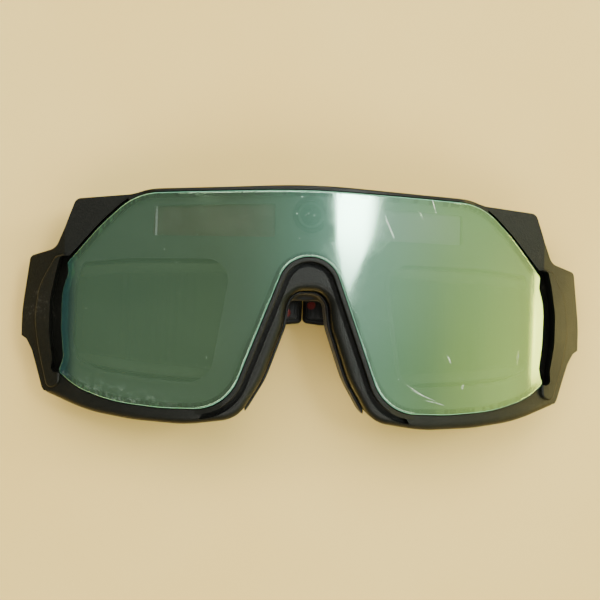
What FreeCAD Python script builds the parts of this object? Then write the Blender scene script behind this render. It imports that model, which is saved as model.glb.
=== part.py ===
"""Auto-darkening welding goggles: wrap-around front frame with a one-piece
cover lens, filter cartridge behind it, and two folding telescopic temples.

Frame of the part: millimetres, goggles lying lens up on folded temples.
+X along the wide side, +Y towards the brow, +Z out of the lens, Z = 0 at the
lowest point.  Left and right are as seen looking at the lens.
"""
import FreeCAD, Part
import math
import os

os.makedirs("parts", exist_ok=True)
Vec = FreeCAD.Vector
doc = FreeCAD.newDocument("WeldingGoggles")

# ---------------------------------------------------------------- dimensions
SIZES = {
    # bend radii of the coaxial shells, axis parallel to Y
    "lens_bend": 140.0,
    "apex_height": 41.0,
    "seat_bend": 138.4,
    "band_bend": 139.9,
    "low_bend": 138.9,
    "lip_bend": 140.4,
    "rim_bend": 141.5,
    "base_bend": 137.0,
    "groove_bend": 135.6,
    "ledge_bend": 136.6,
    "plate_bend": 134.8,
    "skirt_bend": 125.0,
    # filter cartridge
    "bezel_bend": 137.5,
    "carrier_bend": 136.6,
    "carrier_back_bend": 135.0,
    "glass_back_bend": 133.4,
    "cell_back_bend": 131.6,
    "board_bend": 133.8,
    "board_back_bend": 132.6,
    "cable_back_bend": 132.3,
    "cover_bend": 131.4,
    "inner_lens_back_bend": 130.2,
    "cover_back_bend": 129.8,
    "brow_back_bend": 122.0,
    "saddle_bend": 131.5,
    "saddle_back_bend": 119.0,
    "sensor_y": 25.1,
    # hinge and temple
    "hinge_offset": 77.2,
    "hinge_height": 8.0,
    "pin_radius": 1.2,
    "pin_play": 0.06,
    "knuckle_radius": 4.4,
    "arm_start": 4.8,
    "fold_tilt": 2.5,
    "slide_play": 0.25,
    "arm_outer": -4.6,
    "arm_inner": 0.9,
    "channel_floor": -3.4,
    "lid_seat": -0.6,
    "foot_level": 0.0,
    "notch_height": 5.3,
}
sheet = doc.addObject("Spreadsheet::Sheet", "Sizes")
for row, (alias, value) in enumerate(SIZES.items(), start=1):
    sheet.set(f"A{row}", alias)
    sheet.set(f"B{row}", str(value))
    sheet.setAlias(f"B{row}", alias)
doc.recompute()

BLOCK_TOP = 60.0      # height of the prisms that the bent shells are cut from
AXIS_HALF = 60.0      # half length of the bending cylinders
LEFT, RIGHT = -1, 1

# ------------------------------------------------------------------ outlines
# Each point is (x, y, corner radius) on the right half, from the brow round
# the outside to the nose.
LENS = [(0, 31.85, 300), (24, 30.9, 300), (48.6, 30.0, 18), (58.6, 21.0, 60), (68.2, 10.2, 1.2),
        (67.9, 7.0, 2), (69.6, 2.0, 20), (69.6, -9.0, 30), (68.7, -16.4, 1.0), (69.2, -18.6, 1.0),
        (70.2, -20.9, 1.5), (64.4, -25.2, 20), (54, -28.5, 60), (40, -29.6, 60), (22.0, -29.2, 17),
        (6.09, 13.5, 8.7)]
FRAME = [(0, 33.35, 300), (22, 32.15, 300), (43.5, 31.2, 60), (50.6, 29.8, 8), (66.3, 28.5, 2.2),
         (69.4, 20.3, 25), (72.0, 14.3, 4), (79.9, 12.0, 1.6), (82.1, -4, 40), (82.1, -11.2, 0),
         (80.4, -12.2, 0.8), (78.6, -15.2, 3), (77.2, -19.5, 20), (74.9, -27.0, 3.4), (61, -31.9, 50),
         (48, -33.5, 60), (33, -34.1, 40), (18.6, -31.9, 9), (12.0, -20.6, 25), (6.9, -6.0, 12),
         (5.6, 4.3, 5.4)]
CAVITY = [(0, 31.6, 300), (22, 30.4, 300), (44, 29.0, 40), (64.4, 26.9, 3), (67.6, 19.6, 20),
          (70.0, 12.6, 6), (67.4, 5.2, 3), (67.4, -13.0, 3), (73.2, -25.6, 4), (60.4, -30.0, 50),
          (48, -31.3, 60), (33, -31.9, 40), (20.4, -30.2, 8), (14.2, -19.8, 24), (9.2, -5.6, 12),
          (7.2, 6.6, 6)]
EYE_WINDOW = [(21.4, 12.4, 6), (58.5, 11.6, 9), (63.6, 3.0, 14), (63.4, -14.5, 9), (46, -21.6, 60),
              (26.9, -22.6, 7)]
FRONT_WINDOW = [(21.4, 12.4, 6), (50, 11.9, 60), (63.6, 10.6, 1.5), (66.0, 4, 10), (66.3, -12, 10),
                (65.0, -17.2, 2), (58, -20.2, 20), (46, -21.6, 60), (26.9, -22.6, 7)]
SUN_WINDOW = [(9.9, 27.9, 0.8), (43.4, 26.7, 0.8), (44.0, 18.4, 0.8), (9.7, 18.7, 0.8)]
WING = [(43, 45, 0), (90, 45, 0), (90, 11, 0), (66.4, 11, 0), (58, 18, 0), (47, 27.5, 0), (43, 29.5, 0)]
SIDE_SLOT = [(65.4, 12.4, 1), (70.3, 11.9, 1), (71.5, 7.6, 6), (73.1, -0.6, 16), (73.1, -9.5, 16),
             (72.0, -17.2, 6), (72.6, -22.0, 3), (65.4, -19.6, 0)]
SIDE_RIM = [(68.0, 12.9, 1.2), (71.8, 11.9, 1.5), (76.6, 3.6, 14), (77.8, -6.0, 20), (76.3, -15.0, 20),
            (73.4, -26.4, 2), (69.6, -24.6, 2), (69.2, -17.6, 2)]
LOW_ZONE = [(0, 20, 0), (12, 20, 0), (22, -13.2, 0), (90, -13.2, 0), (90, -45, 0), (0, -45, 0)]
UPPER_ZONE = [(-43, 20, 0), (-43, 45, 0), (43, 45, 0), (43, 20, 0)]
SIDE_ZONE = [(43, 45, 0), (90, 45, 0), (90, -26.8, 0), (43, -26.8, 0)]
WING_GROOVE = [(51, 45, 0), (90, 45, 0), (90, 11, 0), (66.4, 11, 0), (58, 18, 0), (51, 26, 0)]
LIP_ZONE = [(0, 16, 0), (9.2, 15.5, 0), (23.4, -22.5, 0), (35.5, -26, 0), (35.5, -36, 0), (0, -36, 0)]
GROOVE_ZONE = [(0, 16, 0), (9.2, 15.5, 0), (21.5, -20, 0), (33, -38, 0), (0, -38, 0)]
BROW_PAD = [(0, 30.6, 300), (22, 29.4, 300), (44, 28.1, 40), (56.6, 26.8, 3), (56.2, 20.9, 3),
            (44, 21.6, 60), (22, 22.6, 60), (0, 23.2, 60)]
BOARD = [(0, 28.4, 300), (24, 27.4, 300), (45.8, 26.2, 2), (46.0, 16.2, 2), (0, 17.2, 0)]
CABLE = [(28, 17.4, 0.5), (34, 17.4, 0.5), (34, 13.5, 0.5), (28, 13.5, 0.5)]
POSTS = [(60.6, 23.8), (69.6, -23.2), (0, 10.1), (-69.6, -23.2), (-60.6, 23.8)]
# The temple outlines run along the arm from the hinge line: (along, y, radius).
ARM = [(0, 3.1, 0), (14, 3.1, 30), (56, 2.6, 1.5), (56, -8.4, 1.5), (14, -10.7, 30), (0, -10.7, 0)]
LID = [(10, 1.9, 1.5), (54, 1.7, 1.0), (54, -7.6, 1.0), (10, -8.0, 1.5)]
BLADE = [(20, 0.15, 0.5), (60, 0.15, 0), (60, -6.15, 0), (20, -6.15, 0.5)]
PADDLE = [(56.5, 0.9, 0.8), (61, 2.6, 5), (72, 3.4, 5), (77.0, 2.8, 1.5), (77.0, -5.4, 1.5),
          (72, -6.0, 5), (61, -6.0, 5), (56.5, -6.3, 0.8)]
TIP_PAD = [(70.4, 1.2, 1.2), (75.8, 1.0, 1.2), (75.8, -4.2, 1.2), (70.4, -4.4, 1.2)]


# Sloping planes as (x, height) pairs: the flat brow wings, the way down to them
# from the brow band, and the run-out of the lip under the lens.
WING_SLOPE = ((43.0, 30.85), (90.0, 16.0))
BROW_SLOPE = ((43.0, 34.2), (90.0, -2.0))
LIP_RAMP = ((22.0, 39.9), (36.0, 34.3))


def mirrored(half):
    """A closed symmetrical outline from its right half."""
    left = [(-x, y, radius) for x, y, radius in reversed(half) if x > 0]
    return half + left


def flipped(points, side):
    """The outline of a one-sided piece on the given side."""
    return [(side * x, y, radius) for x, y, radius in points]


def grown(points, distance):
    """The outline moved outwards by a distance, or inwards if negative."""
    count = len(points)
    area = sum(points[i - 1][0] * points[i][1] - points[i][0] * points[i - 1][1] for i in range(count))
    turn = -1.0 if area > 0 else 1.0
    result = []
    for i, (x, y, radius) in enumerate(points):
        before, after = points[i - 1], points[(i + 1) % count]
        step_in = Vec(x - before[0], y - before[1], 0).normalize()
        step_out = Vec(after[0] - x, after[1] - y, 0).normalize()
        normal_in = Vec(-step_in.y, step_in.x, 0) * turn
        normal_out = Vec(-step_out.y, step_out.x, 0) * turn
        bisector = normal_in + normal_out
        scale = distance / (1.0 + normal_in.dot(normal_out))
        convex = step_in.cross(step_out).z * turn < 0
        new_radius = radius + distance if convex else radius - distance
        result.append((x + bisector.x * scale, y + bisector.y * scale, max(new_radius, 0.0)))
    return result


def rounded_edges(points):
    """Lines and tangent arcs round an outline of (x, y, radius) points."""
    corners = []
    count = len(points)
    for i, (x, y, radius) in enumerate(points):
        here = Vec(x, y, 0)
        back = Vec(*points[i - 1][:2], 0) - here
        ahead = Vec(*points[(i + 1) % count][:2], 0) - here
        half_turn = (math.pi - back.getAngle(ahead)) / 2
        tangent = min(radius * math.tan(half_turn), 0.495 * back.Length, 0.495 * ahead.Length)
        if tangent < 0.02:
            corners.append((here, None, here))
            continue
        used = tangent / math.tan(half_turn)
        start = here + back.normalize() * tangent
        end = here + ahead.normalize() * tangent
        inward = (back + ahead).normalize()
        middle = here + inward * (used / math.cos(half_turn) - used)
        corners.append((start, middle, end))
    edges = []
    for i, (start, middle, end) in enumerate(corners):
        if middle is not None:
            edges.append(Part.Arc(start, middle, end))
        following = corners[(i + 1) % count][0]
        if end.distanceToPoint(following) > 1e-6:
            edges.append(Part.LineSegment(end, following))
    return edges


# ---------------------------------------------------------- building helpers
def sketch(name, points):
    """A closed sketch on the table plane."""
    item = doc.addObject("Sketcher::SketchObject", name)
    item.addGeometry(rounded_edges(points), False)
    return item


def prism(name, points, bottom="0", top=str(BLOCK_TOP)):
    """An upright block over an outline, between two heights."""
    outline = sketch(name + "_outline", points)
    outline.setExpression("Placement.Base.z", bottom)
    block = doc.addObject("Part::Extrusion", name)
    block.Base = outline
    block.DirMode = "Custom"
    block.Dir = Vec(0, 0, 1)
    block.Solid = True
    block.setExpression("LengthFwd", f"({top}) - ({bottom})")
    return block


def bend(alias):
    """The solid inside one bending radius, shared by all shells that use it."""
    name = "Inside_" + alias
    found = doc.getObject(name)
    if found:
        return found
    drum = doc.addObject("Part::Cylinder", name)
    drum.setExpression("Radius", f"Sizes.{alias}")
    drum.Height = 2 * AXIS_HALF
    drum.Placement = FreeCAD.Placement(Vec(0, -AXIS_HALF, 0), FreeCAD.Rotation(Vec(1, 0, 0), -90))
    drum.setExpression("Placement.Base.z", "Sizes.apex_height - Sizes.lens_bend")
    return drum


def common(name, *shapes):
    item = doc.addObject("Part::MultiCommon", name)
    item.Shapes = list(shapes)
    return item


def fuse(name, *shapes):
    item = doc.addObject("Part::MultiFuse", name)
    item.Shapes = list(shapes)
    item.Refine = True
    return item


def cut(name, base, *tools):
    """The base less one or more tools."""
    item = doc.addObject("Part::Cut", name)
    item.Base = base
    item.Tool = tools[0] if len(tools) == 1 else fuse(name + "_tools", *tools)
    item.Refine = True
    return item


def shell(name, points, outer, inner, bottom="0"):
    """A bent plate over an outline, between two bending radii."""
    inside = common(name + "_inside", prism(name + "_block", points, bottom), bend(outer))
    return cut(name, inside, bend(inner))


def above(name, points, alias):
    """Everything over an outline outside one bending radius."""
    return cut(name, prism(name + "_block", points), bend(alias))


def box(name, low, high):
    """A box between two corners; each entry is a number or an expression."""
    item = doc.addObject("Part::Box", name)
    for axis, size, start, end in zip("xyz", ("Length", "Width", "Height"), low, high):
        item.setExpression(f"Placement.Base.{axis}", str(start))
        item.setExpression(size, f"({end}) - ({start})")
    return item


def rod(name, x, low, high, z, radius):
    """A round bar parallel to Y."""
    item = doc.addObject("Part::Cylinder", name)
    item.setExpression("Radius", str(radius))
    item.setExpression("Height", f"({high}) - ({low})")
    item.Placement = FreeCAD.Placement(Vec(0, 0, 0), FreeCAD.Rotation(Vec(1, 0, 0), -90))
    item.setExpression("Placement.Base.x", str(x))
    item.setExpression("Placement.Base.y", str(low))
    item.setExpression("Placement.Base.z", str(z))
    return item


def peg(name, x, y, bottom, top, radius):
    """An upright round bar."""
    item = doc.addObject("Part::Cylinder", name)
    item.setExpression("Radius", str(radius))
    item.setExpression("Height", f"({top}) - ({bottom})")
    item.setExpression("Placement.Base.x", str(x))
    item.setExpression("Placement.Base.y", str(y))
    item.setExpression("Placement.Base.z", str(bottom))
    return item


def level(alias, x=0.0):
    """Height of a bending radius above the table at one x."""
    axis = SIZES["apex_height"] - SIZES["lens_bend"]
    return axis + math.sqrt(SIZES[alias] ** 2 - x ** 2)


def on_bend(edge, alias, slack=0.03):
    """Whether an edge lies on one bending radius."""
    axis = SIZES["apex_height"] - SIZES["lens_bend"]
    first, last = edge.ParameterRange
    for part in (0.05, 0.35, 0.65, 0.95):
        point = edge.valueAt(first + (last - first) * part)
        if abs(math.hypot(point.x, point.z - axis) - SIZES[alias]) > slack:
            return False
    return True


def rounded(name, base, radius, chosen):
    """A fillet on the edges that a test picks out."""
    doc.recompute()
    picked = [i for i, edge in enumerate(base.Shape.Edges, start=1) if chosen(edge)]
    item = doc.addObject("Part::Fillet", name)
    item.Base = base
    item.Edges = [(i, radius, radius) for i in picked]
    doc.recompute()
    if "Invalid" in item.State or item.Shape.isNull() or not item.Shape.isValid():
        raise RuntimeError(f"{name}: fillet failed on {len(picked)} edges")
    return item


NODES = []


def node(label, item, placement=None):
    """Names a finished sub-part."""
    item.Label = label
    if placement is not None:
        item.Placement = placement
    NODES.append(item)
    return item


# ----------------------------------------------------------------- the front
def outline_edges(alias, outline, where=lambda middle: True):
    """Picks the edges that follow an outline on one bending radius."""
    loop = Part.Compound([curve.toShape() for curve in rounded_edges(outline)])

    def test(edge):
        if not on_bend(edge, alias):
            return False
        first, last = edge.ParameterRange
        for part in (0.2, 0.8):
            point = edge.valueAt(first + (last - first) * part)
            if loop.distToShape(Part.Vertex(point.x, point.y, 0))[0] > 0.01:
                return False
        return where(edge.CenterOfMass)
    return test


def plan_edges(outline):
    """Picks the top edges that follow an outline, at any level."""
    loop = Part.Compound([curve.toShape() for curve in rounded_edges(outline)])

    def test(edge):
        first, last = edge.ParameterRange
        points = [edge.valueAt(first + (last - first) * part) for part in (0.1, 0.5, 0.9)]
        if math.hypot(points[2].x - points[0].x, points[2].y - points[0].y) < 0.01:
            return False
        axis = SIZES["apex_height"] - SIZES["lens_bend"]
        if any(math.hypot(p.x, p.z - axis) < SIZES["base_bend"] - 0.3 for p in points):
            return False
        return all(loop.distToShape(Part.Vertex(p.x, p.y, 0))[0] < 0.01 for p in points)
    return test


def front_frame():
    """Moulded front: lens seat, nose flange, brow wings, side rims and tabs."""
    lens = mirrored(LENS)
    frame = mirrored(FRAME)
    base = shell("Base_layer", frame, "base_bend", "skirt_bend")
    low = common("Low_layer", shell("Low_blank", frame, "low_bend", "groove_bend"),
                 prism("Low_zone", mirrored(LOW_ZONE)))
    low = rounded("Low_rounded", low, 2.2, outline_edges("low_bend", frame))
    base = cut("Base_trimmed", base, prism("Low_zone_again", mirrored(LOW_ZONE)))
    skirt = shell("Skirt_layer", frame, "groove_bend", "skirt_bend")
    blank = shell("Band_blank", frame, "band_bend", "groove_bend")
    upper = common("Upper_band", blank, prism("Upper_zone", UPPER_ZONE))
    upper = rounded("Upper_rounded", upper, 0.5, outline_edges("band_bend", frame))
    sides = []
    rims = []
    for i, side in enumerate((LEFT, RIGHT)):
        part = common(f"Side_band_{i}", blank, prism(f"Side_zone_{i}", flipped(SIDE_ZONE, side)))
        part = rounded(f"Side_rounded_{i}", part, 0.5, outline_edges("band_bend", frame))
        part = common(f"Side_falling_{i}", part, falling_drum(f"Side_fall_{i}", "band_bend", -12, 3.9))
        wing = common(f"Wing_space_{i}", wedge(f"Wing_wedge_{i}", side, WING_SLOPE, 0, 50),
                      wedge(f"Brow_wedge_{i}", side, BROW_SLOPE, 0, 50),
                      prism(f"Wing_zone_{i}", flipped(WING, side)))
        sides.append(cut(f"Side_layer_{i}", part, wing))
        rim = shell(f"Rim_{i}", flipped(SIDE_RIM, side), "rim_bend", "groove_bend")
        rim = common(f"Rim_falling_{i}", rim, falling_drum(f"Rim_fall_{i}", "rim_bend", -10, 5.5))
        rims.append(rounded(f"Rim_rounded_{i}", rim, 0.6, plan_edges(flipped(SIDE_RIM, side))))
    lip = common("Lip", above("Lip_ring", grown(lens, 1.5), "groove_bend"), bend("lip_bend"),
                 prism("Lip_zone", mirrored(LIP_ZONE)))
    lip = rounded("Lip_rounded", lip, 0.4, lambda edge: on_bend(edge, "lip_bend"))
    lip = cut("Lip_falling", lip, *[wedge(f"Lip_ramp_{i}", side, LIP_RAMP, -45, -20)
                                    for i, side in enumerate((LEFT, RIGHT))])
    seat = shell("Seat_layer", grown(lens, 1.2), "seat_bend", "plate_bend")

    body = fuse("Frame_layers", base, skirt, low, upper, lip, seat, *sides, *rims)
    carrier_recess = common("Carrier_recess", prism("Carrier_recess_block", grown(lens, -0.6)),
                            bend("ledge_bend"))
    tools = [above("Lens_pocket", grown(lens, 0.3), "seat_bend"),
             prism("Front_opening", grown(lens, -1.4)),
             carrier_recess,
             common("Cavity", prism("Cavity_block", mirrored(CAVITY)), bend("plate_bend"))]
    groove_ring = cut("Groove_ring", prism("Groove_outer", grown(lens, 2.9)),
                      prism("Groove_inner", grown(lens, 1.5)), bend("groove_bend"))
    tools.append(common("Nose_groove", groove_ring, prism("Nose_groove_zone", mirrored(GROOVE_ZONE))))
    for i, side in enumerate((LEFT, RIGHT)):
        tools.append(above(f"Side_slot_{i}", flipped(SIDE_SLOT, side), "groove_bend"))
        ring = cut(f"Wing_groove_ring_{i}", prism(f"Wing_groove_outer_{i}", grown(lens, 1.0)),
                   prism(f"Wing_groove_inner_{i}", grown(lens, 0.2)), bend("groove_bend"))
        groove_zone = prism(f"Wing_groove_zone_{i}", flipped(WING_GROOVE, side))
        tools.append(common(f"Wing_groove_{i}", ring, groove_zone))
        x_low, x_high = sorted((side * 58.0, side * 90.0))
        tools.append(box(f"Arm_notch_{i}", (x_low, -11.3, -5),
                         (x_high, 3.7, "Sizes.hinge_height + Sizes.notch_height")))
    body = cut("Frame_cut", body, *tools)

    added = []
    bores = []
    posts = []
    for i, side in enumerate((LEFT, RIGHT)):
        x_axis = f"{side} * Sizes.hinge_offset"
        added.append(rod(f"Frame_knuckle_{i}", x_axis, -6.75, -0.75, "Sizes.hinge_height",
                         "Sizes.knuckle_radius"))
        x_low, x_high = sorted((side * 74.0, side * 80.9))
        added.append(box(f"Knuckle_web_{i}", (x_low, -6.75, "Sizes.hinge_height"),
                         (x_high, -0.75, "Sizes.hinge_height + Sizes.notch_height + 1.0")))
        bores.append(rod(f"Knuckle_bore_{i}", x_axis, -8, 1, "Sizes.hinge_height", "Sizes.pin_radius"))
    for i, (x, y) in enumerate(POSTS):
        posts.append(peg(f"Post_{i}", x, y, level("cover_bend", x) - 3, level("plate_bend", x) + 0.4, 2.2))
        bores.append(peg(f"Post_hole_{i}", x, y, level("cover_bend", x) - 4,
                         level("cover_bend", x) + 2.8, 0.9))
    added.append(cut("Posts", fuse("Post_blanks", *posts), bend("cover_bend"), carrier_recess))
    bores.append(box("Below_feet", (-100, -60, -40), (100, 60, "Sizes.foot_level")))
    return cut("Front_frame", fuse("Frame_joined", body, *added), *bores)


def wedge(name, side, slope, y_start, y_end):
    """Everything above a sloping plane, given by two (x, height) points."""
    (x_1, z_1), (x_2, z_2) = slope
    outline = doc.addObject("Part::Polygon", name + "_outline")
    outline.Nodes = [Vec(side * x, y_start, z)
                     for x, z in ((x_1, z_1), (x_2, z_2), (x_2, BLOCK_TOP), (x_1, BLOCK_TOP))]
    outline.Close = True
    item = doc.addObject("Part::Extrusion", name)
    item.Base = outline
    item.DirMode = "Custom"
    item.Dir = Vec(0, 1, 0)
    item.LengthFwd = y_end - y_start
    item.Solid = True
    return item


def falling_drum(name, alias, y_start, angle):
    """The inside of a bend tipped from y_start on, so that a raised layer dies out downwards."""
    drum = doc.addObject("Part::Cylinder", name)
    drum.setExpression("Radius", f"Sizes.{alias}")
    drum.Height = 2 * AXIS_HALF
    axis = Vec(0, -AXIS_HALF, SIZES["apex_height"] - SIZES["lens_bend"])
    level_drum = FreeCAD.Placement(axis, FreeCAD.Rotation(Vec(1, 0, 0), -90))
    pivot = Vec(0, y_start, axis.z + SIZES[alias])
    tip = FreeCAD.Placement(Vec(), FreeCAD.Rotation(Vec(1, 0, 0), angle), pivot)
    drum.Placement = tip.multiply(level_drum)
    return drum


def cartridge():
    """The filter carrier and everything it holds."""
    plate = shell("Carrier_plate", grown(mirrored(LENS), -0.7), "carrier_bend", "carrier_back_bend")
    bezels = []
    windows = []
    for i, side in enumerate((LEFT, RIGHT)):
        bezels.append(shell(f"Window_bezel_{i}", flipped(grown(FRONT_WINDOW, 1.2), side),
                            "bezel_bend", "carrier_back_bend"))
        windows.append(prism(f"Eye_hole_{i}", flipped(FRONT_WINDOW, side)))
        windows.append(prism(f"Sun_hole_{i}", flipped(SUN_WINDOW, side)))
    windows.append(peg("Sensor_hole", 0, "Sizes.sensor_y", 30, 45, 4.0))
    node("filter_carrier", cut("Carrier", fuse("Carrier_solid", plate, *bezels), *windows))

    ring = peg("Sensor_ring_solid", 0, "Sizes.sensor_y", "Sizes.apex_height - 3.4",
               "Sizes.apex_height - 2.6", 5.1)
    node("sensor_bezel", cut("Sensor_ring", ring,
                             peg("Sensor_ring_hole", 0, "Sizes.sensor_y", 30, 45, 4.0)))
    node("sensor_window", peg("Sensor_disc", 0, "Sizes.sensor_y", "Sizes.apex_height - 4.6",
                              "Sizes.apex_height - 3.0", 3.95))
    diodes = [peg(f"Diode_{i}", x, "Sizes.sensor_y", "Sizes.apex_height - 6.0",
                  "Sizes.apex_height - 4.6", 0.8) for i, x in enumerate((-1.3, 1.3))]
    node("photodiodes", fuse("Diodes", *diodes))

    for name, side in (("left", LEFT), ("right", RIGHT)):
        node(f"{name}_filter_glass", shell(f"Glass_{name}", flipped(grown(FRONT_WINDOW, 1.0), side),
                                           "carrier_back_bend", "glass_back_bend"))
        node(f"{name}_lcd_cell", shell(f"Cell_{name}", flipped(grown(EYE_WINDOW, 0.9), side),
                                       "glass_back_bend", "cell_back_bend"))
        node(f"{name}_solar_cell", shell(f"Sun_{name}", flipped(grown(SUN_WINDOW, 0.6), side),
                                         "carrier_back_bend", "board_bend"))
        node(f"{name}_flex_cable", shell(f"Cable_{name}", flipped(CABLE, side),
                                         "board_back_bend", "cable_back_bend"))
        node(f"{name}_inner_lens", shell(f"Inner_lens_{name}", flipped(grown(EYE_WINDOW, 0.9), side),
                                         "cover_bend", "inner_lens_back_bend"))
    board = shell("Board_plate", mirrored(BOARD), "board_bend", "board_back_bend")
    node("circuit_board", cut("Board", board, peg("Board_hole", 0, "Sizes.sensor_y", 30, 45, 2.6)))
    node("controller_chip", box("Chip", (-4, 17.9, level("board_back_bend", 4) - 0.9),
                                (4, 21.4, level("board_back_bend", 4))))
    coin = doc.addObject("Part::Cylinder", "Coin")
    coin.Radius = 4.6
    coin.setExpression("Height", "Sizes.carrier_back_bend - Sizes.cell_back_bend - 0.9")
    centre = Vec(0, 0, SIZES["apex_height"] - SIZES["lens_bend"])
    lift = Vec(0, 19.4, SIZES["apex_height"] - SIZES["lens_bend"] + SIZES["cell_back_bend"] + 0.5)
    turn = FreeCAD.Placement(Vec(), FreeCAD.Rotation(Vec(0, 1, 0), 22.9), centre)
    node("battery_cell", coin, turn.multiply(FreeCAD.Placement(lift, FreeCAD.Rotation())))


def rear_parts():
    """Rear cover with its screws, the brow foam and the nose saddle."""
    plate = shell("Cover_plate", grown(mirrored(CAVITY), -0.15), "cover_bend", "cover_back_bend")
    tools = []
    screws = []
    for i, side in enumerate((LEFT, RIGHT)):
        tools.append(prism(f"Eye_aperture_{i}", flipped(grown(EYE_WINDOW, -0.6), side)))
        tools.append(above(f"Inner_lens_seat_{i}", flipped(grown(EYE_WINDOW, 1.0), side),
                           "inner_lens_back_bend"))
        x_low, x_high = sorted((side * 58.0, side * 90.0))
        tools.append(box(f"Cover_notch_{i}", (x_low, -11.3, -5),
                         (x_high, 3.7, "Sizes.hinge_height + Sizes.notch_height")))
    for i, (x, y) in enumerate(POSTS):
        head_top = level("cover_back_bend", x) + 0.7
        tools.append(peg(f"Screw_clearance_{i}", x, y, 0, 45, 1.05))
        tools.append(peg(f"Screw_counterbore_{i}", x, y, 0, head_top, 2.0))
        head = peg(f"Screw_head_{i}", x, y, head_top - 0.9, head_top, 1.85)
        shank = peg(f"Screw_shank_{i}", x, y, head_top, level("cover_bend", x) + 2.6, 0.88)
        slots = [box(f"Screw_slot_{i}_{k}", (x - a, y - b, head_top - 1.5), (x + a, y + b, head_top - 0.45))
                 for k, (a, b) in enumerate(((1.2, 0.22), (0.22, 1.2)))]
        screws.append(cut(f"Screw_{i}", fuse(f"Screw_blank_{i}", head, shank), *slots))
    node("rear_cover", cut("Rear_cover", plate, *tools))
    node("rear_cover_screws", fuse("Rear_screws", *screws))
    node("brow_pad", shell("Brow_pad", mirrored(BROW_PAD), "cover_back_bend", "brow_back_bend"))
    saddle = fuse("Saddle_solid", prism("Saddle_outer", grown(mirrored(FRAME), 1.2)),
                  box("Saddle_web", (-5.9, 1.2, 0), (5.9, 6, 24.5)))
    sleeve = cut("Saddle_sleeve", saddle, prism("Saddle_inner", mirrored(FRAME)), bend("saddle_back_bend"))
    node("nose_saddle", common("Saddle", sleeve, bend("saddle_bend"),
                               box("Saddle_zone", (-17, -40, 0), (17, 8, 45))))


# --------------------------------------------------------------- the temples
def along(points, side):
    """A temple outline placed on its side of the front."""
    return [(side * (SIZES["hinge_offset"] - d), y, radius) for d, y, radius in points]


def span(side, start, end):
    """X limits of a stretch of the temple, low first."""
    return sorted((side * (SIZES["hinge_offset"] - start), side * (SIZES["hinge_offset"] - end)))


def depth(offset):
    """Height expression of a level across the temple's thickness."""
    return f"Sizes.hinge_height + ({offset})"


def flat_edge(edge, side, start=3.0):
    """Whether an edge lies level and clear of the hinge end of a temple."""
    box_of = edge.BoundBox
    middle = SIZES["hinge_offset"] - side * edge.CenterOfMass.x
    return box_of.ZLength < 0.001 and box_of.DiagonalLength > 0.05 and middle > start


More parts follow.
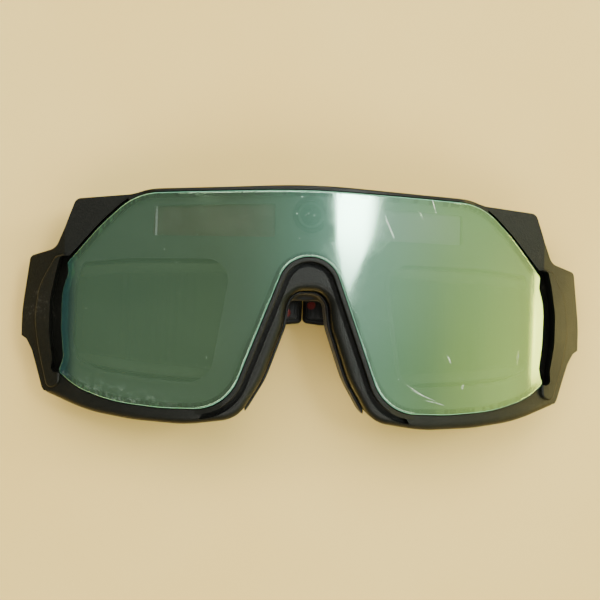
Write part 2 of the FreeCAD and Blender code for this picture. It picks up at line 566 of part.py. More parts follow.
def temple(name, side):
    """One folded temple: fork and sleeve, lid, screw, detent, sliding tip."""
    pivot = Vec(side * SIZES["hinge_offset"], 0, SIZES["hinge_height"])
    folded = FreeCAD.Placement(Vec(), FreeCAD.Rotation(Vec(0, 1, 0), -SIZES["fold_tilt"]), pivot)
    x_axis = f"{side} * Sizes.hinge_offset"

    blank = prism(f"Arm_blank_{name}", along(ARM, side), depth("Sizes.arm_outer"), depth("Sizes.arm_inner"))
    blank = rounded(f"Arm_blank_rounded_{name}", blank, 1.3, lambda edge: flat_edge(edge, side))
    forks = [rod(f"Fork_{name}_{i}", x_axis, low, high, "Sizes.hinge_height", "Sizes.knuckle_radius")
             for i, (low, high) in enumerate(((-10.7, -7.0), (-0.5, 3.1)))]
    solid = fuse(f"Arm_solid_{name}", blank, *forks)
    gap_low, gap_high = span(side, -6, SIZES["arm_start"])
    slot_low, slot_high = span(side, 19, 58)
    nest_low, nest_high = span(side, 30, 42)
    arm = cut(
        f"Arm_{name}", solid,
        box(f"Fork_gap_{name}", (gap_low, -7.0, 0), (gap_high, -0.5, 16)),
        box(f"Channel_{name}", (slot_low, -6.4, depth("Sizes.channel_floor")),
            (slot_high, 0.4, depth("Sizes.lid_seat"))),
        box(f"Detent_nest_{name}", (nest_low, 0.3, depth("Sizes.channel_floor + 0.3")),
            (nest_high, 1.5, depth("Sizes.lid_seat"))),
        prism(f"Lid_seat_{name}", along(grown(LID, 0.1), side), depth("Sizes.lid_seat"), depth("5")),
        rod(f"Fork_bore_{name}", x_axis, -12, 5, "Sizes.hinge_height",
            "Sizes.pin_radius + Sizes.pin_play"),
        peg(f"Lid_screw_hole_{name}", side * (SIZES["hinge_offset"] - 14), -3.4,
            depth("-3.6"), depth("0"), 0.7))
    node(f"{name}_temple_arm", arm, folded)

    lid = prism(f"Lid_{name}", along(LID, side), depth("Sizes.lid_seat"), depth("Sizes.arm_inner"))
    x_screw = side * (SIZES["hinge_offset"] - 14)
    lid = rounded(f"Lid_rounded_{name}", lid, 0.4, lambda edge: flat_edge(edge, side)
                  and edge.CenterOfMass.z > SIZES["hinge_height"])
    lid_cut = cut(f"Lid_cut_{name}", lid,
                  peg(f"Lid_hole_{name}", x_screw, -3.4, depth("-2"), depth("2"), 0.8),
                  peg(f"Lid_sink_{name}", x_screw, -3.4, depth("0.1"), depth("2"), 1.6))
    node(f"{name}_temple_cover", lid_cut, folded)
    screw = fuse(f"Lid_screw_blank_{name}",
                 peg(f"Lid_screw_head_{name}", x_screw, -3.4, depth("0.1"), depth("0.8"), 1.5),
                 peg(f"Lid_screw_shank_{name}", x_screw, -3.4, depth("-3.4"), depth("0.1"), 0.68))
    slots = [box(f"Lid_screw_slot_{name}_{k}", (x_screw - a, -3.4 - b, depth("0.45")),
                 (x_screw + a, -3.4 + b, depth("2"))) for k, (a, b) in enumerate(((1.0, 0.2), (0.2, 1.0)))]
    node(f"{name}_temple_screw", cut(f"Lid_screw_{name}", screw, *slots), folded)

    leaf_low, leaf_high = span(side, 30.5, 41.5)
    leaf = box(f"Leaf_{name}", (leaf_low, 0.9, depth("-2.7")), (leaf_high, 1.25, depth("-0.9")))
    bump = peg(f"Leaf_bump_{name}", side * (SIZES["hinge_offset"] - 36), 0.92,
               depth("-2.7"), depth("-0.9"), 0.5)
    node(f"{name}_detent_spring", fuse(f"Detent_{name}", leaf, bump), folded)

    blade = prism(f"Blade_{name}", along(BLADE, side), depth("Sizes.channel_floor + Sizes.slide_play"),
                  depth("Sizes.lid_seat - Sizes.slide_play"))
    paddle = prism(f"Paddle_{name}", along(PADDLE, side), depth("-3.9"), depth("-0.4"))
    paddle = rounded(f"Paddle_rounded_{name}", paddle, 1.1, lambda edge: flat_edge(edge, side))
    pocket = prism(f"Pad_pocket_{name}", along(TIP_PAD, side), depth("-1.2"), depth("2"))
    node(f"{name}_temple_slider", cut(f"Slider_{name}", fuse(f"Slider_solid_{name}", blade, paddle), pocket),
         folded)
    node(f"{name}_tip_pad", prism(f"Tip_pad_{name}", along(TIP_PAD, side), depth("-1.2"), depth("-0.1")),
         folded)
    pin = rod(f"Pin_{name}", x_axis, -10.6, 3.0, "Sizes.hinge_height", "Sizes.pin_radius")
    node(f"{name}_hinge_pin", pin)


node("front_frame", front_frame())
lens_sheet = shell("Cover_lens", mirrored(LENS), "lens_bend", "seat_bend")
node("cover_lens", rounded("Cover_lens_edge", lens_sheet, 0.5, lambda edge: on_bend(edge, "lens_bend")))
cartridge()
rear_parts()
temple("left", LEFT)
temple("right", RIGHT)

# -------------------------------------------------------------------- export
doc.recompute()
for item in doc.Objects:
    if "Invalid" in item.State or "Error" in item.State:
        raise RuntimeError(f"{item.Label}: {item.State}")
for item in NODES:
    if item.Shape.isNull() or not item.Shape.isValid() or item.Shape.Volume <= 0:
        raise RuntimeError(f"{item.Label} has no valid solid")
for item in NODES:
    item.Shape.exportStep(f"parts/{item.Label}.step")
    print(item.Label, len(item.Shape.Solids), round(item.Shape.Volume, 1))
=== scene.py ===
"""Looks of the welding goggles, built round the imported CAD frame.

Metres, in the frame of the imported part: +X across the lens, +Y towards the
brow, +Z out of the lens, goggles lying lens up on the floor at Z = 0.
"""
import math

import bpy
from mathutils import Matrix, Vector


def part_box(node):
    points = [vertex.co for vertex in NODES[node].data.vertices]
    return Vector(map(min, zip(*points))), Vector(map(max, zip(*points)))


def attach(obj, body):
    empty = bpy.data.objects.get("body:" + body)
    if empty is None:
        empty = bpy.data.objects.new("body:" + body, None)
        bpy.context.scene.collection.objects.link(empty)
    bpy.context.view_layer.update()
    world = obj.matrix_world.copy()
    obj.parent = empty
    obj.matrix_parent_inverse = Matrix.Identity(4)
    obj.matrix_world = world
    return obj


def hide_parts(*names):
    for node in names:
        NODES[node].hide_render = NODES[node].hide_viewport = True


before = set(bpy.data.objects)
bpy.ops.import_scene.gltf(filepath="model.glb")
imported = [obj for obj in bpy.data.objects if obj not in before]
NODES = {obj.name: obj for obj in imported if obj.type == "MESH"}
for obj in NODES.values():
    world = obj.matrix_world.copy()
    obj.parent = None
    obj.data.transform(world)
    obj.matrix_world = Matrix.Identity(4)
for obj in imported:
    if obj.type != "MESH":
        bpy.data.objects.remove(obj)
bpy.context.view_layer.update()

SIDES = (("left", -1), ("right", 1))
MM = 0.001

_, LENS_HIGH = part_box("cover_lens")
APEX = LENS_HIGH.z                      # crown of the lens above the floor
BEND = 140 * MM                         # bending radius of the lens
BEND_AXIS_Z = APEX - BEND               # height of the bending axis, parallel to Y
RIM_BEND = 139.9 * MM                   # bending radius of the side rims
TAB_OUT = 80 * MM                       # how far out the hinge tabs sit
TAB_PLANE = BEND_AXIS_Z + math.sqrt(RIM_BEND ** 2 - TAB_OUT ** 2)


# ------------------------------------------------------------------ materials
class Graph:
    """A node material being put together."""

    def __init__(self, name):
        self.material = bpy.data.materials.new(name)
        self.material.use_nodes = True
        self.tree = self.material.node_tree
        self.shader = self.tree.nodes["Principled BSDF"]
        self.where = self.add("ShaderNodeTexCoord").outputs["Object"]

    def add(self, kind, **settings):
        node = self.tree.nodes.new(kind)
        for key, value in settings.items():
            setattr(node, key, value)
        return node

    def link(self, source, target):
        self.tree.links.new(source, target)

    def feed(self, socket, value):
        """Sets a socket, or links it when the value is another node's output."""
        if isinstance(value, bpy.types.NodeSocket):
            self.link(value, socket)
        else:
            socket.default_value = value

    def math(self, operation, a, b=0.0, clamp=False):
        node = self.add("ShaderNodeMath", operation=operation, use_clamp=clamp)
        self.feed(node.inputs[0], a)
        self.feed(node.inputs[1], b)
        return node.outputs[0]

    def vector(self, operation, a, b=(0, 0, 0)):
        node = self.add("ShaderNodeVectorMath", operation=operation)
        self.feed(node.inputs[0], a)
        self.feed(node.inputs[1], b)
        return node.outputs["Value" if operation in ("DOT_PRODUCT", "LENGTH") else "Vector"]

    def noise(self, size, detail=3.0, rough=0.55, stretch=None):
        """Noise with features of about the given size in metres."""
        source = self.where
        if stretch:
            mapping = self.add("ShaderNodeMapping")
            mapping.inputs["Scale"].default_value = stretch
            self.link(source, mapping.inputs["Vector"])
            source = mapping.outputs["Vector"]
        node = self.add("ShaderNodeTexNoise")
        node.inputs["Scale"].default_value = 1.0 / size
        node.inputs["Detail"].default_value = detail
        node.inputs["Roughness"].default_value = rough
        self.link(source, node.inputs["Vector"])
        return node.outputs["Fac"]

    def cells(self, size, coords=None):
        """Distance to the nearest of scattered points about the given size apart."""
        node = self.add("ShaderNodeTexVoronoi", feature="F1")
        node.inputs["Scale"].default_value = 1.0 / size
        self.link(coords or self.where, node.inputs["Vector"])
        return node.outputs["Distance"]

    def ramp(self, value, low, high, to_low=0.0, to_high=1.0):
        node = self.add("ShaderNodeMapRange", interpolation_type="SMOOTHSTEP")
        self.feed(node.inputs["Value"], value)
        for name, number in (("From Min", low), ("From Max", high), ("To Min", to_low), ("To Max", to_high)):
            self.feed(node.inputs[name], number)
        return node.outputs["Result"]

    def mix(self, factor, a, b):
        node = self.add("ShaderNodeMix", data_type="RGBA")
        for socket, value in ((node.inputs["Factor"], factor), (node.inputs[6], a), (node.inputs[7], b)):
            self.feed(socket, value)
        return node.outputs[2]

    def bump(self, height, distance, strength=1.0):
        node = self.add("ShaderNodeBump")
        node.inputs["Strength"].default_value = strength
        node.inputs["Distance"].default_value = distance
        self.link(height, node.inputs["Height"])
        return node.outputs["Normal"]

    def split(self, vector):
        node = self.add("ShaderNodeSeparateXYZ")
        self.link(vector, node.inputs["Vector"])
        return node.outputs

    def finish(self, **sockets):
        """Sets the shader's own sockets and returns the material."""
        for name, value in sockets.items():
            self.feed(self.shader.inputs[name.replace("_", " ")], value)
        return self.material


def rgb(red, green, blue):
    return (red, green, blue, 1.0)


def scaled(colour, factor):
    return rgb(*(factor * channel for channel in colour))


def moulded_plastic(name, colour, grain=0.30 * MM, depth=0.05 * MM, rough=(0.38, 0.5),
                    worn=(0.11, 0.10, 0.08), shine=0.3, gloss=0.0, contrast=1.0):
    """Moulded plastic with a spark-eroded grain and faint rubbed patches."""
    g = Graph(name)
    sand = g.noise(grain, 4.0, 0.7)
    pits = g.cells(grain * 1.6)
    cloud = g.noise(14 * MM, 3.0)
    rubbed = g.ramp(g.math("MULTIPLY", cloud, g.noise(1.1 * MM, 5.0, 0.75)), 0.34, 0.46, 0.0, 0.25)
    dark, light = 1.0 - 0.5 * contrast, 1.0 + 0.7 * contrast
    base = g.mix(g.ramp(sand, 0.38, 0.66), scaled(colour, dark), scaled(colour, light))
    height = g.math("ADD", sand, g.math("MULTIPLY", pits, 0.6))
    return g.finish(Base_Color=g.mix(rubbed, base, rgb(*worn)), Roughness=g.ramp(cloud, 0.3, 0.7, *rough),
                    Normal=g.bump(height, depth, 0.8), Specular_IOR_Level=shine,
                    Coat_Weight=gloss, Coat_Roughness=0.22)


def scratch(g, coords, x, y, angle, length, width):
    """One scratch: 1 on its line, fading to 0 at its edges and ends."""
    mapping = g.add("ShaderNodeMapping", vector_type="TEXTURE")
    mapping.inputs["Location"].default_value = (x * MM, y * MM, 0)
    mapping.inputs["Rotation"].default_value = (0, 0, math.radians(angle))
    mapping.inputs["Scale"].default_value = (length * MM / 2, width * MM, 1)
    g.link(coords, mapping.inputs["Vector"])
    spot = g.add("ShaderNodeTexGradient", gradient_type="SPHERICAL")
    g.link(mapping.outputs["Vector"], spot.inputs["Vector"])
    return spot.outputs["Fac"]


# Scratches on the lens: x, y, angle, length, half width, millimetres and degrees.
SCRATCHES = [
    (21.8, 22.2, -66, 7.5, 0.13), (34.4, 28.8, -71, 5.4, 0.11), (30.6, 26.2, -60, 3.4, 0.08),
    (40.2, -13.9, -62, 3.2, 0.12), (44.6, -21.6, 70, 1.9, 0.13), (33.0, -24.2, -24, 9.5, 0.07),
    (31.0, -23.0, -30, 8.0, 0.06), (36.5, -26.2, -14, 7.5, 0.06), (61.5, -13.0, 84, 5.0, 0.07),
]


def coated_lens():
    """Clear sheet with a green half-mirror coat, bright cut edge, scratches and dust, and painted
    reflections: dark green on the left, yellow-green on the right, teal in the middle, with a painted shadow
    band near the left edge.
    """
    g = Graph("coated_lens")
    flat = g.vector("MULTIPLY", g.where, (1, 1, 0))
    x, y, _ = g.split(g.where)
    wobble = g.add("ShaderNodeTexNoise")
    wobble.inputs["Scale"].default_value = 220
    g.link(flat, wobble.inputs["Vector"])
    bent = g.vector("ADD", flat, g.vector("MULTIPLY", wobble.outputs["Color"], (0.0006, 0.0006, 0)))
    marks = None
    for entry in SCRATCHES:
        spot = scratch(g, bent, entry[0] + 0.3, entry[1] + 0.3, *entry[2:])
        marks = spot if marks is None else g.math("MAXIMUM", marks, spot)
    broken = g.ramp(g.noise(0.7 * MM, 3.0), 0.38, 0.6, 0.4, 1.0)
    marks = g.math("MULTIPLY", g.ramp(marks, 0.0, 0.36), broken)

    specks = g.ramp(g.cells(2.0 * MM, coords=flat), 0.04, 0.08, 0.5, 0.0)
    specks = g.math("MULTIPLY", specks, g.ramp(g.noise(7 * MM, 2.0), 0.48, 0.58))
    dirt_low = g.ramp(g.math("ADD", y, g.math("MULTIPLY", x, 0.22)), -33 * MM, -38.5 * MM)
    dirt_side = g.ramp(x, -22 * MM, -44 * MM)
    dirt_grains = g.ramp(g.noise(1.6 * MM, 5.0, 0.7), 0.48, 0.72)
    dirt = g.math("MULTIPLY", g.math("MULTIPLY", dirt_low, dirt_side), dirt_grains)
    haze = g.ramp(g.noise(30 * MM, 2.0, 0.5), 0.45, 0.75, 0.0, 0.02)
    dust = g.math("MAXIMUM", g.math("MULTIPLY", dirt, 0.35), g.math("MAXIMUM", specks, haze))
    wear = g.math("MAXIMUM", marks, dust, clamp=True)

    from_axis = g.vector("SUBTRACT", g.where, (0, 0, BEND_AXIS_Z))
    radial = g.vector("NORMALIZE", g.vector("MULTIPLY", from_axis, (1, 0, 1)))
    normal = g.add("ShaderNodeNewGeometry").outputs["Normal"]
    facing = g.math("ABSOLUTE", g.vector("DOT_PRODUCT", normal, radial))
    edge = g.ramp(facing, 0.97, 0.7)

    # Painted reflection: the coat colour runs from dark green on the left to yellow-green on the right,
    # standing in for warm light reflected from the right.
    across = g.ramp(x, -50 * MM, 60 * MM)
    coat = g.mix(across, rgb(0.32, 0.50, 0.31), rgb(0.48, 0.64, 0.27))
    # Painted reflection: a teal patch in the middle of the lens stands in for the pale sky reflected there.
    middle = g.math("MULTIPLY", g.ramp(x, -30 * MM, 6 * MM), g.ramp(x, 46 * MM, 12 * MM))
    coat = g.mix(g.math("MULTIPLY", middle, 0.7), coat, rgb(0.38, 0.66, 0.55))
    # Painted shadow: a dark teal band near the left edge of the lens, which is also made more opaque further
    # down.
    shade = g.ramp(x, -64.5 * MM, -68.5 * MM, 0.0, 0.85)
    coat = g.mix(shade, coat, rgb(0.03, 0.11, 0.15))
    coat = g.mix(edge, coat, rgb(0.40, 0.95, 0.62))
    colour = g.mix(wear, coat, rgb(0.86, 0.93, 0.86))
    alpha = g.math("MAXIMUM", g.ramp(edge, 0.0, 1.0, 0.46, 0.9), g.math("MULTIPLY", wear, 0.9))
    alpha = g.math("MAXIMUM", alpha, g.math("MULTIPLY", shade, 0.9))
    rough = g.math("ADD", g.ramp(g.noise(9 * MM, 3.0), 0.3, 0.7, 0.05, 0.09), g.math("MULTIPLY", wear, 0.4))
    metal = g.math("MULTIPLY", g.math("SUBTRACT", 1.0, wear), g.ramp(edge, 0.0, 1.0, 0.85, 0.25))
    return g.finish(Base_Color=colour, Alpha=alpha, Roughness=rough, Metallic=metal,
                    Normal=g.bump(g.math("MULTIPLY", wear, -1.0), 0.03 * MM, 0.6),
                    IOR=1.58, Coat_Weight=0.3, Coat_Roughness=0.04)


def tinted_glass(name, colour, second, alpha, metallic, rough=0.06):
    """Coated glass with a faint cloudy drift between two tints."""
    g = Graph(name)
    drift = g.ramp(g.noise(24 * MM, 2.0), 0.35, 0.65)
    film = g.noise(0.9 * MM, 3.0)
    return g.finish(Base_Color=g.mix(drift, rgb(*colour), rgb(*second)), Alpha=alpha, Metallic=metallic,
                    Roughness=g.ramp(film, 0.3, 0.7, rough, rough * 1.8), IOR=1.52)


def filter_glass():
    """Coated filter glass with a painted dark shade line and a painted sheen under the upper and lower window
    edges.
    """
    g = Graph("filter_glass")
    x, y, _ = g.split(g.where)
    out = g.math("ABSOLUTE", x)

    def edge_line(inner, outer, pick):
        """Height of a window edge made of two straight stretches, each as (slope, offset)."""
        ends = [g.math("ADD", g.math("MULTIPLY", out, slope), offset * MM)
                for slope, offset in (inner, outer)]
        return g.math(pick, *ends)

    upper = g.math("SUBTRACT", edge_line((-0.0175, 12.77), (-0.0956, 16.68), "MINIMUM"), y)
    lower = g.math("SUBTRACT", y, edge_line((0.0524, -24.0), (0.1167, -26.97), "MAXIMUM"))
    near = g.math("MINIMUM", upper, lower)
    # Painted shade: a dark line along the upper and lower window edges stands in for the shade at the recess
    # edge.
    painted_edge_shade = g.ramp(near, 0.7 * MM, 1.1 * MM, 1.0, 0.0)
    # Painted sheen: a lighter band just inside the upper and lower window edges stands in for a highlight.
    sheen = g.math("MULTIPLY", g.ramp(near, 1.1 * MM, 1.4 * MM), g.ramp(near, 2.4 * MM, 5.6 * MM, 1.0, 0.0))
    drift = g.ramp(g.noise(24 * MM, 2.0), 0.35, 0.65)
    glass = g.mix(drift, rgb(0.088, 0.125, 0.088), rgb(0.115, 0.155, 0.10))
    glass = g.mix(g.math("MULTIPLY", sheen, 0.75), glass, rgb(0.26, 0.32, 0.22))
    return g.finish(Base_Color=g.mix(painted_edge_shade, glass, rgb(0.02, 0.03, 0.022)),
                    Alpha=g.ramp(painted_edge_shade, 0.0, 1.0, 0.8, 1.0), Metallic=0.3,
                    Roughness=g.ramp(g.noise(0.9 * MM, 3.0), 0.3, 0.7, 0.06, 0.11), IOR=1.52)


def sensor_glass():
    """Dark sensor disc with a lighter ring and two bright dots where the diodes look out."""
    g = Graph("sensor_glass")
    low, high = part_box("sensor_window")
    centre = (low + high) / 2
    flat = g.vector("SUBTRACT", g.vector("MULTIPLY", g.where, (1, 1, 0)), (centre.x, centre.y, 0))
    away = g.vector("LENGTH", flat)
    ring = g.math("MULTIPLY", g.ramp(away, 2.7 * MM, 3.1 * MM), g.ramp(away, 3.4 * MM, 3.9 * MM, 1.0, 0.0))
    tint = g.mix(g.ramp(g.noise(2 * MM), 0.35, 0.65), rgb(0.004, 0.010, 0.010), rgb(0.014, 0.024, 0.022))
    tint = g.mix(g.math("MULTIPLY", ring, 0.8), tint, rgb(0.09, 0.14, 0.12))
    for x, y in ((-0.7 * MM, 0.4 * MM), (0.9 * MM, -0.1 * MM)):
        dot = g.vector("LENGTH", g.vector("SUBTRACT", flat, (x, y, 0)))
        tint = g.mix(g.ramp(dot, 0.15 * MM, 0.45 * MM, 0.7, 0.0), tint, rgb(0.6, 0.8, 0.7))
    rough = g.ramp(g.noise(0.8 * MM), 0.3, 0.7, 0.1, 0.2)
    return g.finish(Base_Color=tint, Alpha=0.96, Roughness=rough, IOR=1.5)


def solar_film():
    """Thin-film cell: brown film, faint scribe lines and a pale contact strip at its outer end, with a
    painted recess shadow across the outer end of the right cell.
    """
    g = Graph("solar_film")
    x, y, _ = g.split(g.where)
    phase = g.math("ABSOLUTE", g.math("SUBTRACT", g.math("FRACT", g.math("DIVIDE", x, 4.3 * MM)), 0.5))
    line = g.ramp(phase, 0.480, 0.495, 0.0, 0.12)
    film = g.mix(g.ramp(g.noise(6 * MM, 3.0), 0.3, 0.7), rgb(0.16, 0.085, 0.075), rgb(0.22, 0.13, 0.12))
    film = g.mix(g.ramp(x, 0.0, 20 * MM), film, rgb(0.30, 0.26, 0.34))
    film = g.mix(line, film, rgb(0.42, 0.42, 0.40))
    strip = g.ramp(g.math("ABSOLUTE", g.math("ADD", x, 43.0 * MM)), 0.22 * MM, 0.4 * MM, 1.0, 0.0)
    # Painted shadow: a dark band at the outer end of the right cell stands in for the recess shadow there.
    outer_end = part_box("right_solar_cell")[1].x
    far = g.ramp(x, outer_end - 1.5 * MM, outer_end - 1.2 * MM)
    film = g.mix(far, film, rgb(0.005, 0.006, 0.005))
    return g.finish(Base_Color=g.mix(strip, film, rgb(1.0, 1.0, 1.0)), Roughness=g.ramp(
        g.noise(0.6 * MM), 0.3, 0.7, 0.25, 0.4), Coat_Weight=0.3, Coat_Roughness=0.1)


def laminate():
    """Solder mask with copper tracks and plated pads."""
    g = Graph("circuit_laminate")
    tracks = g.ramp(g.math("ABSOLUTE", g.math("SUBTRACT", g.noise(3.2 * MM, 0.0), 0.5)), 0.0, 0.02, 1.0, 0.0)
    pads = g.ramp(g.cells(2.2 * MM), 0.1, 0.13, 1.0, 0.0)
    mask = g.mix(tracks, rgb(0.008, 0.10, 0.035), rgb(0.02, 0.22, 0.09))
    return g.finish(Base_Color=g.mix(pads, mask, rgb(0.75, 0.6, 0.3)), Metallic=g.math("MULTIPLY", pads, 0.9),
                    Roughness=g.ramp(g.noise(1 * MM), 0.3, 0.7, 0.3, 0.42),
                    Normal=g.bump(tracks, 0.03 * MM, 0.6))


def metal(name, colour, rough=(0.25, 0.42), grain=(1.0, 0.05, 1.0)):
    """Turned or rolled steel with fine lines and dull spots."""
    g = Graph(name)
    lines = g.noise(0.25 * MM, 3.0, 0.6, stretch=grain)
    spots = g.noise(1.8 * MM, 4.0)
    base = g.mix(g.ramp(spots, 0.4, 0.75), rgb(*colour), scaled(colour, 0.6))
    return g.finish(Base_Color=base, Metallic=1.0, Roughness=g.ramp(spots, 0.3, 0.7, *rough),
                    Normal=g.bump(lines, 0.01 * MM, 0.35))


def foam():
    """Closed-cell foam: skin with small open pores."""
    g = Graph("brow_foam")
    pores = g.cells(0.55 * MM)
    big = g.cells(1.3 * MM)
    holes = g.math("MULTIPLY", g.ramp(pores, 0.08, 0.5), g.ramp(big, 0.1, 0.4, 0.75, 1.0))
    base = g.mix(holes, rgb(0.004, 0.004, 0.004), rgb(0.035, 0.035, 0.037))
    tint = g.mix(g.ramp(g.noise(9 * MM), 0.35, 0.7), base, rgb(0.05, 0.05, 0.05))
    return g.finish(Base_Color=tint, Roughness=g.ramp(holes, 0.0, 1.0, 1.0, 0.85),
                    Normal=g.bump(holes, 0.25 * MM, 0.9), Sheen_Weight=0.25, Sheen_Roughness=0.5)


def elastomer(name, colour, dusty, spots=()):
    """Soft moulded rubber with a matte bloom, and small red moulded spots at (x, y) in millimetres."""
    g = Graph(name)
    tint = rgb(*colour)
    for x, y in spots:
        away = g.vector("SUBTRACT", g.vector("MULTIPLY", g.where, (1, 1, 0)), (x * MM, y * MM, 0))
        spot = g.ramp(g.vector("LENGTH", away), 1.0 * MM, 1.5 * MM, 1.0, 0.0)
        tint = g.mix(spot, tint, rgb(0.13, 0.005, 0.005))
    fine = g.noise(0.22 * MM, 3.0, 0.6)
    bloom = g.ramp(g.noise(4.5 * MM, 5.0, 0.7), 0.45, 0.75, 0.0, 0.4)
    return g.finish(Base_Color=g.mix(bloom, tint, rgb(*dusty)), Roughness=g.ramp(bloom, 0.0, 0.4, 0.55, 0.8),
                    Normal=g.bump(fine, 0.02 * MM, 0.6), Sheen_Weight=0.05, Specular_IOR_Level=0.35)


def dress(names, material):
    """Gives CAD nodes or pieces one material."""
    for name in names:
        item = NODES[name] if isinstance(name, str) else name
        item.data.materials.clear()
        item.data.materials.append(material)


def both(name):
    return [f"{side}_{name}" for side, _ in SIDES]


dress(["front_frame"],
      moulded_plastic("frame_sand", (0.0078, 0.0076, 0.0056), depth=0.08 * MM, shine=0.20, gloss=0.08))
dress(["rear_cover"], moulded_plastic("cover_sand", (0.016, 0.016, 0.015), grain=0.5 * MM))
dress(both("temple_arm") + both("temple_slider"),
      moulded_plastic("arm_satin", (0.004, 0.004, 0.004), grain=0.24 * MM, depth=0.03 * MM, rough=(0.4, 0.54),
                      shine=0.18))
dress(both("temple_cover"),
      moulded_plastic("lid_satin", (0.008, 0.008, 0.0075), grain=0.3 * MM, depth=0.05 * MM))
dress(["cover_lens"], coated_lens())
dress(["sensor_bezel"], moulded_plastic("bezel_satin", (0.02, 0.03, 0.027), grain=0.6 * MM, depth=0.01 * MM))
dress(["filter_carrier"],
      moulded_plastic("carrier_satin", (0.105, 0.13, 0.112), grain=0.6 * MM, depth=0.01 * MM,
                      worn=(0.13, 0.16, 0.135), contrast=0.1))
dress(both("filter_glass"), filter_glass())
dress(both("lcd_cell"), tinted_glass("lcd_glass", (0.10, 0.13, 0.09), (0.14, 0.16, 0.10), 0.93, 0.35))
dress(both("inner_lens"), tinted_glass("inner_lens", (0.78, 0.84, 0.80), (0.86, 0.88, 0.86), 0.28, 0.0, 0.03))
dress(both("solar_cell"), solar_film())
dress(["sensor_window"], sensor_glass())
dress(["photodiodes"], tinted_glass("diode_resin", (0.75, 0.85, 0.82), (0.6, 0.7, 0.68), 1.0, 0.3))
dress(["circuit_board"], laminate())
dress(["controller_chip"], moulded_plastic("chip_resin", (0.012, 0.012, 0.013), grain=0.15 * MM))
dress(["battery_cell"], metal("cell_can", (0.62, 0.62, 0.60)))
dress(both("flex_cable"), tinted_glass("flex_film", (0.45, 0.20, 0.04), (0.5, 0.25, 0.06), 0.95, 0.2))
dress(["rear_cover_screws"] + both("temple_screw"), metal("screw_black", (0.10, 0.10, 0.10), (0.35, 0.55)))
dress(both("hinge_pin"), metal("pin_steel", (0.58, 0.57, 0.55)))
dress(both("detent_spring"), metal("spring_strip", (0.52, 0.50, 0.44)))

# ----------------------------------------------------------------- soft pieces
def applied(item):
    """Bakes an object's modifiers into its mesh."""
    graph = bpy.context.evaluated_depsgraph_get()
    mesh = bpy.data.meshes.new_from_object(item.evaluated_get(graph))
    item.modifiers.clear()
    item.data = mesh
    return item


def modified(item, kind, **settings):
    modifier = item.modifiers.new(kind.lower(), kind)
    for key, value in settings.items():
        setattr(modifier, key, value)
    return applied(item)


def soft_copy(node, name, shrink, voxel, rounding):
    """A rounded copy of a soft CAD node, a little smaller than the node."""
    mesh = NODES[node].data.copy()
    mesh.materials.clear()
    item = bpy.data.objects.new(name, mesh)
    bpy.context.scene.collection.objects.link(item)
    modified(item, "REMESH", mode="VOXEL", voxel_size=voxel, use_smooth_shade=True)
    modified(item, "DISPLACE", strength=-shrink, mid_level=0.0)
    modified(item, "SMOOTH", factor=0.5, iterations=rounding)
    return item


def swollen(item, pressure, cap):
    """Lets the skin of a pad swell under pressure, no further than the cap."""
    before = [vertex.co.copy() for vertex in item.data.vertices]
    cloth = item.modifiers.new("cloth", "CLOTH")
    cloth.settings.use_pressure = True
    cloth.settings.uniform_pressure_force = pressure
    cloth.settings.effector_weights.gravity = 0.0
    steps = 20
    cloth.point_cache.frame_start = 1
    cloth.point_cache.frame_end = steps
    for step in range(1, steps + 1):
        bpy.context.scene.frame_set(step)
        bpy.context.view_layer.update()
    applied(item)
    bpy.context.scene.frame_set(1)
    for vertex, start in zip(item.data.vertices, before):
        shift = vertex.co - start
        if shift.length > cap:
            vertex.co = start + shift * (cap / shift.length)
    return item


def finished(item, node, body, material):
    """Smooths a soft piece, dresses it and lets it stand for its node."""
    modified(item, "SUBSURF", levels=1, render_levels=1)
    for face in item.data.polygons:
        face.use_smooth = True
    dress([item], material)
    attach(item, body)
    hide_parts(node)
    return item


def brow_cushion():
    """Foam bar with a skin swollen between its rounded edges."""
    item = soft_copy("brow_pad", "brow_cushion", 0.35 * MM, 1.3 * MM, 6)
    swollen(item, 4.0, 0.7 * MM)
    return finished(item, "brow_pad", "front", foam())


def nose_cushion():
    """Rubber saddle with thin grip ribs along its skin side."""
    item = soft_copy("nose_saddle", "nose_cushion", 0.12 * MM, 0.55 * MM, 4)
    low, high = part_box("nose_saddle")
    for vertex in item.data.vertices:
        depth = (high.z - vertex.co.z) / (high.z - low.z)
        rib = 0.5 + 0.5 * math.cos(2 * math.pi * (vertex.co.z - low.z) / (2.4 * MM))
        inward = Vector((-vertex.co.x, 0, 0)).normalized() if abs(vertex.co.x) > MM else Vector((0, -1, 0))
        if 0.25 < depth < 0.92:
            vertex.co += inward * (0.16 * MM * rib)
    return finished(item, "nose_saddle", "front",
                    elastomer("nose_rubber", (0.003, 0.003, 0.003), (0.009, 0.009, 0.009)))


def tip_cushion(side, material):
    """Domed grip pad let into a temple tip, with three shallow grooves."""
    item = soft_copy(f"{side}_tip_pad", f"{side}_tip_cushion", 0.02 * MM, 0.22 * MM, 2)
    low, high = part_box(f"{side}_tip_pad")
    middle = (low + high) / 2
    for vertex in item.data.vertices:
        if vertex.co.z < middle.z:
            continue
        across = (vertex.co.y - middle.y) / (high.y - low.y)
        along = (vertex.co.x - middle.x) / (high.x - low.x)
        dome = max(0.0, 1.0 - 4 * across * across) * max(0.0, 1.0 - 4 * along * along)
        groove = max(0.0, math.cos(2 * math.pi * 3 * along) - 0.5)
        vertex.co.z += (0.35 * dome - 0.22 * groove) * MM
    return finished(item, f"{side}_tip_pad", f"{side}_tip", material)


brow_cushion()
nose_cushion()
tip_rubber = elastomer("pad_spotted", (0.003, 0.003, 0.003), (0.009, 0.007, 0.007),
                       [(-4.9, -2.4), (2.8, 0.0)])
for side, _ in SIDES:
    tip_cushion(side, tip_rubber)


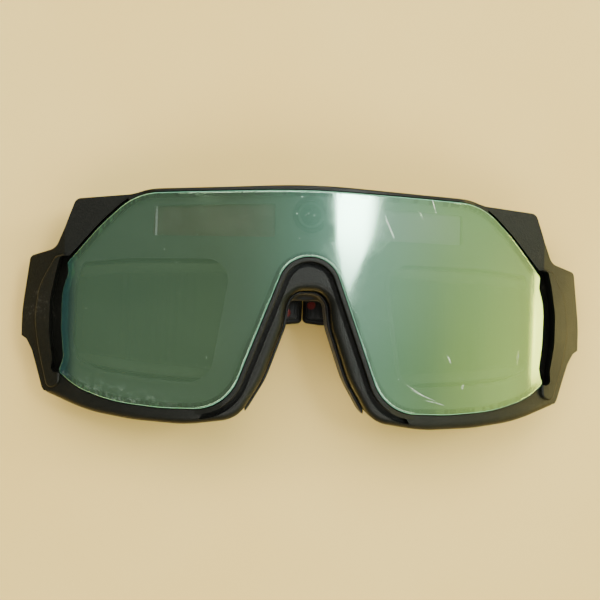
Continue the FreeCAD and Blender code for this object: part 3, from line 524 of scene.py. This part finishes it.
# ------------------------------------------------------------ floor and light
def plain_floor():
    """A pale floor sheet under the goggles."""
    mesh = bpy.data.meshes.new("floor")
    half = 2.5
    corners = [(-half, -half, 0), (half, -half, 0), (half, half, 0), (-half, half, 0)]
    mesh.from_pydata(corners, [], [(0, 1, 2, 3)])
    floor = bpy.data.objects.new("floor", mesh)
    bpy.context.scene.collection.objects.link(floor)
    g = Graph("floor_pale")
    tint = g.mix(g.ramp(g.noise(0.12), 0.3, 0.7), rgb(0.98, 0.64, 0.17), rgb(1.0, 0.68, 0.20))
    dress([floor], g.finish(Base_Color=tint, Roughness=0.6))


def panel(name, place, target, size, watts, colour):
    """A soft light panel aimed at a point."""
    data = bpy.data.lights.new(name, "AREA")
    data.shape = "RECTANGLE"
    data.size, data.size_y = size
    data.energy = watts
    data.color = colour
    lamp = bpy.data.objects.new(name, data)
    lamp.location = place
    lamp.rotation_euler = (Vector(target) - Vector(place)).to_track_quat("-Z", "Y").to_euler()
    bpy.context.scene.collection.objects.link(lamp)


# Sky round the studio by the sideways part of the direction, left to right:
# towards the brow, then towards the cheeks.
SKY_BROW = [(0.00, (0.05, 0.09, 0.10)), (0.07, (0.09, 0.13, 0.12)), (0.30, (0.055, 0.085, 0.065)),
            (0.38, (0.08, 0.11, 0.10)), (0.52, (0.22, 0.38, 0.36)), (0.66, (0.70, 0.98, 0.92)),
            (0.80, (0.66, 0.95, 0.85)), (0.90, (0.72, 1.05, 0.78)), (0.97, (1.00, 1.15, 0.62)),
            (1.00, (1.00, 0.90, 0.45))]
SKY_CHEEK = [(0.00, (0.05, 0.09, 0.09)), (0.07, (0.12, 0.155, 0.115)), (0.21, (0.12, 0.15, 0.11)),
             (0.38, (0.045, 0.07, 0.045)), (0.52, (0.09, 0.14, 0.115)), (0.72, (0.30, 0.50, 0.34)),
             (0.80, (0.36, 0.55, 0.35)), (0.88, (0.74, 0.95, 0.48)), (0.94, (1.20, 1.38, 0.66)),
             (1.00, (1.50, 1.30, 0.55))]


def streak():
    """An overhead light sheet that narrows to a point, seen as the streak in the lens."""
    mesh = bpy.data.meshes.new("streak_sheet")
    corners = [(0.228, 0.010), (0.305, 0.055), (0.390, 0.120), (0.420, 0.200), (0.178, 0.200), (0.146, 0.110),
               (0.160, 0.055)]
    mesh.from_pydata([(x, y, 0.86) for x, y in corners], [], [tuple(reversed(range(len(corners))))])
    sheet = bpy.data.objects.new("streak_sheet", mesh)
    bpy.context.scene.collection.objects.link(sheet)
    g = Graph("streak_light")
    g.feed(g.shader.inputs["Emission Color"], rgb(0.93, 1.0, 0.98))
    across, along, _ = g.split(g.where)
    fading = g.ramp(across, 0.27, 0.36, 1.0, 0.10)
    rising = g.ramp(along, 0.01, 0.09, 8.0, 32.0)
    g.feed(g.shader.inputs["Emission Strength"], g.math("MULTIPLY", rising, fading))
    dress([sheet], g.finish(Base_Color=rgb(0, 0, 0), Roughness=g.ramp(g.noise(0.1), 0.0, 1.0, 0.9, 1.0)))


def studio():
    """Soft light from above, a tapering streak over the nose, and warm light from the right."""
    panel("above", (-0.10, 0.50, 1.0), (0, 0, 0), (1.1, 0.55), 13, (0.98, 0.98, 0.96))
    panel("fill", (0.05, -0.52, 1.0), (0, 0, 0), (1.1, 0.50), 7.5, (1.0, 0.97, 0.90))
    panel("glint", (0.80, 0.34, 0.72), (0, 0, 0.02), (0.16, 0.16), 2.5, (1.0, 0.98, 0.92))
    streak()
    panel("sliver", (1.0, -0.015, 0.27), (0.07, 0, 0.02), (0.12, 0.20), 0.95, (1.0, 0.86, 0.28))
    panel("low_right", (1.1, -0.05, 0.10), (0.08, 0, 0.02), (0.9, 0.14), 6.5, (1.0, 0.84, 0.30))
    world = bpy.data.worlds.new("studio")
    world.use_nodes = True
    tree = world.node_tree
    parts = tree.nodes.new("ShaderNodeSeparateXYZ")
    tree.links.new(tree.nodes.new("ShaderNodeTexCoord").outputs["Generated"], parts.inputs["Vector"])

    def ranged(source, low, high):
        node = tree.nodes.new("ShaderNodeMapRange")
        node.inputs["From Min"].default_value = low
        node.inputs["From Max"].default_value = high
        tree.links.new(source, node.inputs["Value"])
        return node.outputs["Result"]

    across = ranged(parts.outputs["X"], -1.0, 1.0)
    mixed = tree.nodes.new("ShaderNodeMix")
    mixed.data_type = "RGBA"
    tree.links.new(ranged(parts.outputs["Y"], -0.06, 0.06), mixed.inputs["Factor"])
    for socket, sky in ((mixed.inputs[6], SKY_CHEEK), (mixed.inputs[7], SKY_BROW)):
        colours = tree.nodes.new("ShaderNodeValToRGB")
        stops = colours.color_ramp.elements
        stops[0].color = rgb(*sky[0][1])
        stops[1].color = rgb(*sky[-1][1])
        for position, colour in sky[1:-1]:
            stops.new(position).color = rgb(*colour)
        tree.links.new(across, colours.inputs["Fac"])
        tree.links.new(colours.outputs["Color"], socket)
    background = tree.nodes["Background"]
    tree.links.new(mixed.outputs[2], background.inputs["Color"])
    bpy.context.scene.world = world


def camera():
    """Looks down on the lens from a little left of its middle, slightly rolled."""
    data = bpy.data.cameras.new("view")
    data.sensor_width = 36.0
    data.lens = 77.8
    distance = 380 * MM
    sideways = -20 * MM
    target = Vector((-1.2 * MM, 1.5 * MM, TAB_PLANE))
    place = target + Vector((sideways, 0, distance))
    eye = bpy.data.objects.new("view", data)
    back = (place - target).normalized()
    roll = math.radians(1.75)
    up = Vector((-math.sin(roll), math.cos(roll), 0))
    right = up.cross(back).normalized()
    up = back.cross(right)
    eye.matrix_world = Matrix((right, up, back)).transposed().to_4x4()
    eye.location = place
    bpy.context.scene.collection.objects.link(eye)
    bpy.context.scene.camera = eye


plain_floor()
studio()
camera()
